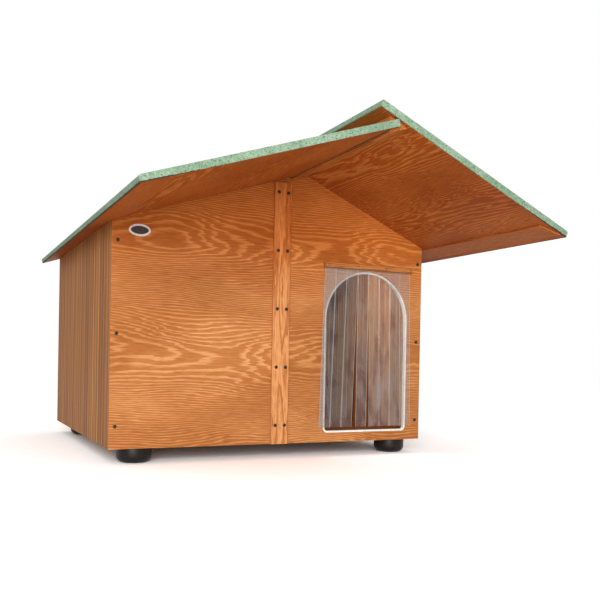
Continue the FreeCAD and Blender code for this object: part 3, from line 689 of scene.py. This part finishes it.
class DOGHOUSE_OT_screws(bpy.types.Operator):
    """Black cross-head screws through the cover battens and the walls' edges"""

    bl_idname = "doghouse.screws"
    bl_label = "Screws"

    def head(self, size):
        """One head facing the front, which rises in two steps to a crown with a cross recess."""
        deselect()
        bpy.ops.mesh.primitive_cylinder_add(vertices=28, radius=size.head / 2, depth=size.dome,
                                            rotation=(math.radians(90), 0, 0))
        head = name_piece("screw_head")
        settle(head)
        edit(head)
        pick("faces", lambda face: face.normal.y < -0.9)
        for inwards, outwards in HEAD_STEPS:
            bpy.ops.mesh.inset(thickness=inwards * size.head, depth=0)
            bpy.ops.transform.translate(value=(0, -outwards * size.dome, 0))
        leave()
        deselect()
        bpy.ops.mesh.primitive_cube_add(size=1)
        cross = name_piece("screw_cross")
        cross.dimensions = (size.recess, size.dome, size.recess * SLOT_SHARE)
        # far enough out that it cuts to about six tenths of the dome
        cross.location = (0, -size.dome * 0.85, 0)
        settle(cross)
        for turn in (0, 90):
            cross.rotation_euler = (0, math.radians(turn), 0)
            bpy.context.view_layer.update()
            finish_with(head, "BOOLEAN", operation="DIFFERENCE", object=cross, solver="EXACT")
        bpy.data.objects.remove(cross)
        return head

    def execute(self, context):
        size = context.scene.doghouse_screws
        # Black phosphated steel: dark, dull, with a soft shine on the dome.
        material = mottled("black phosphated steel", 2.5 * MM, "#1b1816", "#3c3833",
                           dark_share=0.35, Metallic=0.6, Roughness=0.4)
        head = self.head(size)
        head.data.materials.append(material)
        middle = (BATTEN_LOW.x + BATTEN_HIGH.x) / 2
        for end, batten_face, wall_face, low, high, out in (
                ("front", BATTEN_LOW.y, WALL_LOW.y, WALL_LOW, WALL_HIGH, -1),
                ("rear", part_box("rear_cover_batten")[1].y, REAR_HIGH.y, REAR_LOW, REAR_HIGH, 1)):
            turn = 0 if out < 0 else math.pi
            seat = out * size.dome / 2
            batten = [(middle + side * size.gauge / 2, batten_face + seat,
                       WALL_LOW.z + size.first + row * size.pitch)
                      for side in (-1, 1) for row in range(BATTEN_PAIRS)]
            edges = [(across, wall_face + seat, WALL_LOW.z + size.edge_first + row * size.edge_pitch)
                     for across in (low.x + size.edge_inset, high.x - size.edge_inset)
                     for row in range(EDGE_SCREWS)]
            for label, places in (("batten", batten), ("edge", edges)):
                screws = spread(head, f"{end}_{label}_screws", places, turn)
                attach(screws, "house")
        bpy.data.objects.remove(head)
        return {"FINISHED"}


class DOGHOUSE_OT_feet(bpy.types.Operator):
    """Round black feet with a rounded lower edge"""

    bl_idname = "doghouse.feet"
    bl_label = "Feet"

    def execute(self, context):
        size = context.scene.doghouse_feet
        low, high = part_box("foot_front_left")
        height = high.z - low.z
        deselect()
        bpy.ops.mesh.primitive_cylinder_add(vertices=64, radius=(high.x - low.x) / 2, depth=height)
        foot = name_piece("round_foot")
        settle(foot)
        edit(foot)
        pick("edges", lambda edge: all(vert.co.z < 0 for vert in edge.verts))
        bpy.ops.mesh.bevel(offset=size.rounding, segments=8, profile=0.5, affect="EDGES")
        pick("edges", lambda edge: all(vert.co.z > height / 2 - 0.01 * MM for vert in edge.verts))
        bpy.ops.mesh.bevel(offset=size.rim, segments=3, profile=0.5, affect="EDGES")
        pick("faces", lambda face: face.normal.z < -0.999)
        bpy.ops.mesh.inset(thickness=size.rounding / 2, depth=-size.hollow)
        leave()
        bpy.ops.object.shade_smooth_by_angle(angle=math.radians(40))
        # Moulded rubber: nearly black, with a fine spark texture and a soft sheen round the side.
        foot.data.materials.append(mottled(
            "black moulded rubber", 3 * MM, "#0b0807", "#1a1411", 0.3 * MM, dark_share=0.35,
            Roughness=0.42, Specular_IOR_Level=0.25))
        for end in ("front", "rear"):
            for side in ("left", "right"):
                node = f"foot_{end}_{side}"
                low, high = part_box(node)
                copy = spread(foot, f"round_{node}", [(low + high) / 2])
                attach(copy, "house")
                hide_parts(node)
        bpy.data.objects.remove(foot)
        return {"FINISHED"}


class DOGHOUSE_OT_badge(bpy.types.Operator):
    """Bare oval plate near the front wall's upper left corner"""

    bl_idname = "doghouse.badge"
    bl_label = "Oval plate"

    def execute(self, context):
        size = context.scene.doghouse_badge
        deselect()
        place = (WALL_LOW.x + size.across, WALL_LOW.y - size.thick / 2, WALL_LOW.z + size.up)
        bpy.ops.mesh.primitive_cylinder_add(vertices=64, radius=0.5, depth=size.thick,
                                            rotation=(math.radians(90), 0, 0))
        plate = name_piece("oval_plate")
        settle(plate)
        plate.scale = (size.width, 1, size.height)
        plate.location = place
        settle(plate)
        edit(plate)
        pick("faces", lambda face: face.normal.y < -0.9)
        # a chamfered edge, the flat rim, and the step down to the sunk field
        bpy.ops.mesh.inset(thickness=size.thick * 0.3, depth=0)
        bpy.ops.transform.translate(value=(0, -size.thick * 0.25, 0))
        bpy.ops.mesh.inset(thickness=size.rim, depth=0)
        bpy.ops.mesh.inset(thickness=size.thick * 0.2, depth=-size.thick * 0.35)
        leave()
        # Pressed aluminium, bright where the rim is rubbed.
        plate.data.materials.append(mottled(
            "bright pressed aluminium", 2 * MM, "#dbd7d3", "#f4f1ee", Metallic=0.85, Roughness=0.32))
        # Dark baked enamel on the sunk field, smooth with a little orange peel.
        plate.data.materials.append(mottled(
            "dark plate enamel", 3.8 * MM, "#2e2523", "#40332f", 0.1 * MM, 2, Roughness=0.3))
        centre = Vector(place)
        for face in plate.data.polygons:
            offset = face.center - centre
            round_off = math.hypot(offset.x / (size.width / 2 - size.rim),
                                   offset.z / (size.height / 2 - size.rim))
            if face.normal.y < -0.9 and round_off < 0.9:
                face.material_index = 1
        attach(plate, "house")
        return {"FINISHED"}


class DOGHOUSE_OT_curtain(bpy.types.Operator):
    """Clear strips with their uneven hang, and the nails in the rail"""

    bl_idname = "doghouse.curtain"
    bl_label = "Strip curtain"

    def strip(self, number, size, ripple):
        """One strip in the place of its CAD node, hanging a little unevenly."""
        node = f"curtain_strip_{number}"
        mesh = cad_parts[node].data
        points = [vertex.co for vertex in mesh.vertices]
        top = max(point.z for point in points)
        bottom = min(point.z for point in points)
        rows = {}
        for level in (top, bottom):
            across = [point.x for point in points if abs(point.z - level) < MM]
            rows[level] = (min(across), max(across))
        low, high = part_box(node)
        middle = (low.y + high.y) / 2
        deselect()
        bpy.ops.mesh.primitive_plane_add(size=1, calc_uvs=True, rotation=(math.radians(90), 0, 0))
        strip = name_piece(f"clear_strip_{number}")
        settle(strip)
        left, right = rows[top]
        strip.scale = (right - left, 1, top - bottom)
        strip.location = ((left + right) / 2, middle, (top + bottom) / 2)
        settle(strip)
        edit(strip)
        pick("verts", lambda vert: vert.co.z < (top + bottom) / 2)
        bpy.ops.transform.translate(value=(rows[bottom][0] - left, 0, 0))
        bpy.ops.mesh.select_all(action="SELECT")
        bpy.ops.mesh.subdivide(number_cuts=23)  # fine enough for the unevenness
        leave()
        hang = strip.vertex_groups.new(name="hang")
        for vertex in strip.data.vertices:
            hang.add([vertex.index], min(1.0, (top - vertex.co.z) / HELD), "REPLACE")
        finish_with(strip, "DISPLACE", texture=ripple, texture_coords="LOCAL", strength=size.ripple,
                    mid_level=0.5, direction="Y", vertex_group="hang")
        finish_with(strip, "SOLIDIFY", thickness=size.thick, offset=0)
        bpy.ops.object.shade_smooth_by_angle(angle=math.radians(40))
        return strip, node

    def soft_plastic(self):
        """Clear plasticised PVC: hazy, faintly mauve, with a painted highlight along each strip's long
        edges.
        """
        material, tree, coordinates = new_material("clear soft plastic")
        place = coordinates.outputs["Object"]
        split = add_node(tree, "SeparateXYZ", {0: coordinates.outputs["UV"]})
        off_centre = add_node(tree, "Math", {0: split, 1: 0.5}, operation="SUBTRACT")
        off_centre = add_node(tree, "Math", {0: off_centre}, operation="ABSOLUTE")
        # painted highlight along both long edges of each strip, pale and a little less clear
        edge = add_node(tree, "ValToRGB", {0: off_centre}, [(0.478, "#000000"), (0.492, "#ffffff")])
        # clouds about 60 mm wide and 160 mm high
        space = add_node(tree, "Mapping", {"Vector": place, "Scale": (1 / 0.06, 1, 1 / 0.16)})
        cloud = add_node(tree, "TexNoise",
                         {"Vector": space, "Scale": 1, "Detail": 4, "Distortion": 1.5})
        haze = add_node(tree, "ValToRGB", {0: cloud}, [(0.36, "#a1959b"), (0.47, "#c6bdbd"),
                                                       (0.55, "#dcc6ae"), (0.64, "#cfcac8")])
        # each strip's painted shade, darker towards the left: it darkens the haze, and a darker strip
        # is a little less clear
        tone = add_node(tree, "Attribute", attribute_name="strip_tone").outputs["Fac"]
        tint = add_node(tree, "ValToRGB", {0: tone}, [(0.0, "#959595"), (1.0, "#ffffff")], "LINEAR")
        haze = add_node(tree, "Mix", {0: 1.0, 6: haze, 7: tint}, **TINTED)
        # rubbed pale where it rests on the wall, which is outside the doorway's sides and arch
        low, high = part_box("door_edging")
        arch = (high.x - low.x) / 2
        centre = ((low.x + high.x) / 2, 0, high.z - arch)
        reach = add_node(tree, "VectorMath", {0: place, 1: centre}, operation="SUBTRACT")
        reach = add_node(tree, "VectorMath", {0: reach, 1: (-1, 0, 0)}, operation="MAXIMUM")
        reach = add_node(tree, "VectorMath", {0: reach, 1: (1, 0, 1)}, operation="MULTIPLY")
        reach = add_node(tree, "VectorMath", {0: reach}, operation="LENGTH")
        rests = add_node(tree, "Math", {0: reach, 1: arch}, operation="GREATER_THAN")
        haze = add_node(tree, "Mix", {0: rests, 6: haze, 7: linear("#a9b2ae")}, **COVERED)
        colour = add_node(tree, "Mix", {0: edge, 6: haze, 7: linear("#e0e9ee")}, **COVERED)
        cover = weighted(tree, [(cloud, 0.25), (tone, -0.12), (edge, 0.15)])
        cover = add_node(tree, "Math", {0: cover, 1: 0.12}, operation="ADD")
        wave = add_node(tree, "TexNoise", {"Vector": place, "Scale": 1 / (50 * MM), "Detail": 1})
        surface(tree, colour, bump=wave, depth=2 * MM, Roughness=0.16, Alpha=cover)
        return material

    def nails(self, size, material):
        """Nail heads along the front of the rail that holds the strips."""
        low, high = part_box("curtain_rail")
        thick = size.nail / 4
        deselect()
        bpy.ops.mesh.primitive_cylinder_add(vertices=20, radius=size.nail / 2, depth=thick,
                                            rotation=(math.radians(90), 0, 0))
        head = name_piece("nail_head")
        settle(head)
        edit(head)
        pick("edges", lambda edge: all(vert.co.y < 0 for vert in edge.verts))
        bpy.ops.mesh.bevel(offset=thick * 0.6, segments=3, profile=0.5, affect="EDGES")
        leave()
        head.data.materials.append(material)
        middle = (low.z + high.z) / 2
        places = [(low.x + share * (high.x - low.x), low.y - thick / 2, middle)
                  for share in NAIL_SHARES]
        nails = spread(head, "rail_nails", places)
        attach(nails, "house")
        bpy.data.objects.remove(head)

    def execute(self, context):
        size = context.scene.doghouse_curtain
        # Bright drawn steel, dulled by the weather.
        self.nails(size, mottled("dull drawn steel", 1.7 * MM, "#4a3a30", "#8a7c70",
                                 dark_share=0.35, Metallic=0.8, Roughness=0.45))
        material = self.soft_plastic()
        ripple = bpy.data.textures.new("strip ripple", "CLOUDS")
        ripple.noise_scale = RIPPLE_SPAN
        # each strip takes its painted shade, darker towards the left
        for number, shade_level in enumerate(STRIP_SHADES, 1):
            strip, node = self.strip(number, size, ripple)
            strip.data.materials.append(material)
            tone = strip.data.attributes.new("strip_tone", "FLOAT", "POINT")
            tone.data.foreach_set("value", [shade_level] * len(strip.data.vertices))
            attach(strip, f"strip_{number}")
            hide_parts(node)
        finish_nodes(material, "curtain_tabs")
        return {"FINISHED"}


# --------------------------------------------------------------------------- stage


class DOGHOUSE_OT_stage(bpy.types.Operator):
    """Floor, soft studio light and the photograph's camera"""

    bl_idname = "doghouse.stage"
    bl_label = "Studio stage"

    def floor(self, settings):
        """A floor that reaches beyond every view."""
        deselect()
        bpy.ops.mesh.primitive_plane_add(size=40)
        floor = name_piece("studio_floor")
        # Painted board: matt, and paler when seen directly or in gloss, so that it reads white and
        # keeps the shadow.
        material, tree, _ = new_material("studio floor")
        seen = seen_by(tree, "Is Camera Ray", "Is Glossy Ray", "Is Transmission Ray")
        colour = add_node(tree, "Mix", {0: seen, 6: (*settings.floor_colour, 1),
                                        7: (*settings.floor_seen, 1)}, **COVERED)
        matt = add_node(tree, "BsdfDiffuse", {"Color": colour})
        add_node(tree, "OutputMaterial", {"Surface": matt})
        floor.data.materials.append(material)

    def sky(self, settings):
        """Even light, which the camera sees as white, directly and through clear plastic."""
        world = bpy.data.worlds.new("studio")
        bpy.context.scene.world = world
        world.use_nodes = True
        tree = world.node_tree
        tree.nodes.clear()
        seen = seen_by(tree, "Is Camera Ray", "Is Transmission Ray")
        strength = weighted(tree, [(seen, 1 - settings.sky)])
        strength = add_node(tree, "Math", {0: strength, 1: settings.sky}, operation="ADD")
        light = add_node(tree, "Background", {"Color": (1, 1, 1, 1), "Strength": strength})
        add_node(tree, "OutputWorld", {"Surface": light})

    def lamp(self, label, power, place, aim, side):
        """A square lamp that the camera doesn't see."""
        data = bpy.data.lights.new(label, "AREA")
        data.shape = "SQUARE"
        data.size = side
        data.energy = power
        lamp = bpy.data.objects.new(label, data)
        lamp.visible_camera = False
        bpy.context.collection.objects.link(lamp)
        lamp.location = place
        lamp.rotation_euler = (Vector(aim) - Vector(place)).to_track_quat("-Z", "Y").to_euler()

    def camera(self, settings):
        """The photograph's camera, with its lens shifted upwards instead of tilted."""
        yaw, pitch, roll = settings.yaw, settings.pitch, settings.roll
        level = math.cos(pitch)
        ahead = Vector((math.sin(yaw) * level, math.cos(yaw) * level, math.sin(pitch)))
        side = Vector((math.cos(yaw), -math.sin(yaw), 0))
        above = side.cross(ahead)
        right = math.cos(roll) * side + math.sin(roll) * above
        up = math.cos(roll) * above - math.sin(roll) * side
        data = bpy.data.cameras.new("camera")
        data.sensor_width = 36
        data.lens = settings.lens
        data.shift_y = settings.rise
        camera = bpy.data.objects.new("camera", data)
        bpy.context.collection.objects.link(camera)
        turn = Matrix((right, up, -ahead)).transposed().to_4x4()
        camera.matrix_world = Matrix.Translation(settings.camera_place) @ turn
        bpy.context.scene.camera = camera

    def execute(self, context):
        settings = context.scene.doghouse_stage
        self.floor(settings)
        self.sky(settings)
        self.lamp("key lamp", settings.key, *KEY_LAMP)
        self.lamp("cabin lamp", settings.inner, *CABIN_LAMP)
        self.camera(settings)
        context.scene.view_settings.view_transform = "Standard"
        return {"FINISHED"}


# --------------------------------------------------------------------------- add-on


STEPS = (
    DOGHOUSE_OT_stage,
    DOGHOUSE_OT_gable_walls,
    DOGHOUSE_OT_side_boards,
    DOGHOUSE_OT_timber,
    DOGHOUSE_OT_inner_frame,
    DOGHOUSE_OT_roof_decks,
    DOGHOUSE_OT_roof_felt,
    DOGHOUSE_OT_door_edging,
    DOGHOUSE_OT_hinges,
    DOGHOUSE_OT_screws,
    DOGHOUSE_OT_feet,
    DOGHOUSE_OT_badge,
    DOGHOUSE_OT_curtain,
)
SETTINGS = {
    "doghouse_finish": FinishSettings,
    "doghouse_stage": StageSettings,
    "doghouse_screws": ScrewSettings,
    "doghouse_feet": FootSettings,
    "doghouse_badge": BadgeSettings,
    "doghouse_curtain": CurtainSettings,
}


class DOGHOUSE_PT_panel(bpy.types.Panel):
    """Steps that dress the dog house"""

    bl_idname = "DOGHOUSE_PT_panel"
    bl_label = "Dog house"
    bl_space_type = "VIEW_3D"
    bl_region_type = "UI"
    bl_category = "Dog house"

    def draw(self, context):
        for step in STEPS:
            self.layout.operator(step.bl_idname)


CLASSES = (*SETTINGS.values(), *STEPS, DOGHOUSE_PT_panel)


def register():
    for item in CLASSES:
        bpy.utils.register_class(item)
    for name, group in SETTINGS.items():
        setattr(bpy.types.Scene, name, bpy.props.PointerProperty(type=group))


def unregister():
    for name in SETTINGS:
        delattr(bpy.types.Scene, name)
    for item in reversed(CLASSES):
        bpy.utils.unregister_class(item)


def main():
    register()
    for step in STEPS:
        group, action = step.bl_idname.split(".")
        getattr(getattr(bpy.ops, group), action)()


if __name__ == "__main__":
    main()
